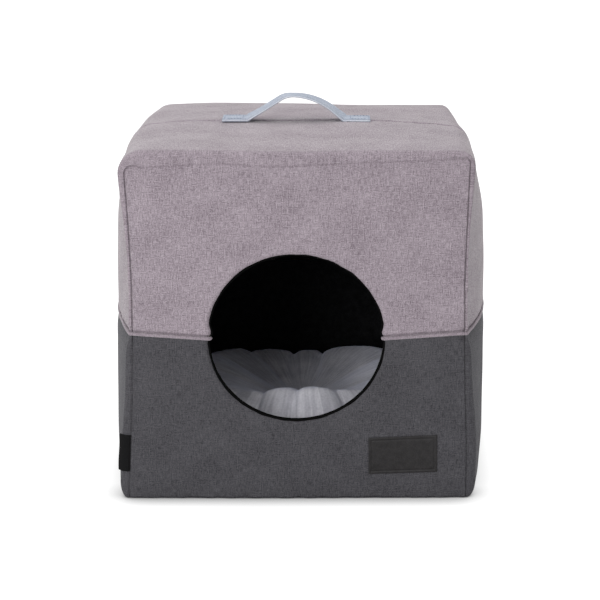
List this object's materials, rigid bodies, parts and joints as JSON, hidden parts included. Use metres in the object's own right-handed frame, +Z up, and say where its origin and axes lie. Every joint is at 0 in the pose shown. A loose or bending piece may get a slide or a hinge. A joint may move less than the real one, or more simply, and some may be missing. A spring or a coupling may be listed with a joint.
{
  "type": "cat condo",
  "caption": "Soft padded cube house for a cat: charcoal base and heather hood meeting at a waist seam, round doorway, webbing carry handle on the roof and a tufted plush cushion inside.",
  "frame": {"origin": "middle of the underside, on the surface the condo stands on", "axes": "+Z up, -Y out of the front with the doorway, +X to the right seen from the front"},
  "size_m": [0.4308, 0.406, 0.4318],
  "materials": {
    "charcoal_fabric": "matte",
    "heather_fabric": "matte",
    "black_lining": "matte",
    "black_binding": "matte",
    "foam": "matte",
    "fibre_fill": "matte",
    "floor_board": "matte",
    "strap_webbing": "matte",
    "patch_leatherette": "satin",
    "label_weave": "satin",
    "plush": "matte"
  },
  "bodies": {
    "base": {"base_cover": "charcoal_fabric", "base_board": "floor_board", "floor_lining": "black_lining", "lower_front_cover": "charcoal_fabric", "lower_back_cover": "charcoal_fabric", "lower_left_cover": "charcoal_fabric", "lower_right_cover": "charcoal_fabric", "lower_front_foam": "foam", "lower_back_foam": "foam", "lower_left_foam": "foam", "lower_right_foam": "foam", "lower_front_lining": "black_lining", "lower_back_lining": "black_lining", "lower_left_lining": "black_lining", "lower_right_lining": "black_lining", "hood_front_cover": "heather_fabric", "hood_back_cover": "heather_fabric", "hood_left_front_cover": "heather_fabric", "hood_left_rear_cover": "heather_fabric", "hood_right_front_cover": "heather_fabric", "hood_right_rear_cover": "heather_fabric", "hood_front_foam": "foam", "hood_back_foam": "foam", "hood_left_foam": "foam", "hood_right_foam": "foam", "hood_front_lining": "black_lining", "hood_back_lining": "black_lining", "hood_left_lining": "black_lining", "hood_right_lining": "black_lining", "hood_hem_front": "heather_fabric", "hood_hem_back": "heather_fabric", "hood_hem_left": "heather_fabric", "hood_hem_right": "heather_fabric", "door_binding_lower": "black_binding", "door_binding_upper": "black_binding", "front_patch": "patch_leatherette", "side_label": "label_weave"},
    "roof": {"roof_front_cover": "heather_fabric", "roof_rear_cover": "heather_fabric", "roof_front_foam": "foam", "roof_rear_foam": "foam", "ceiling_lining": "black_lining", "handle_left_tab": "strap_webbing", "handle_right_tab": "strap_webbing"},
    "handle": {"handle_loop": "strap_webbing"},
    "cushion": {"cushion_top_cover": "plush", "cushion_base_cover": "plush", "cushion_fill": "fibre_fill", "cushion_tuft": "plush"}
  },
  "joints": [
    {"name": "roof_press", "type": "slide", "parent": "base", "child": "roof", "axis": [0, 0, 1], "range_m": [-0.1, 0], "deforming": ["hood_front_cover", "hood_back_cover", "hood_left_front_cover", "hood_left_rear_cover", "hood_right_front_cover", "hood_right_rear_cover", "hood_front_foam", "hood_back_foam", "hood_left_foam", "hood_right_foam", "hood_front_lining", "hood_back_lining", "hood_left_lining", "hood_right_lining", "door_binding_upper"]},
    {"name": "handle_lean", "type": "hinge", "parent": "roof", "child": "handle", "pos_m": [0, 0, 0.4119], "axis": [1, 0, 0], "range_deg": [-35, 35], "stiffness_Nm_per_rad": 0.005},
    {"name": "cushion_lift", "type": "slide", "parent": "base", "child": "cushion", "axis": [0, 0, 1], "range_m": [0, 0.09]}
  ]
}
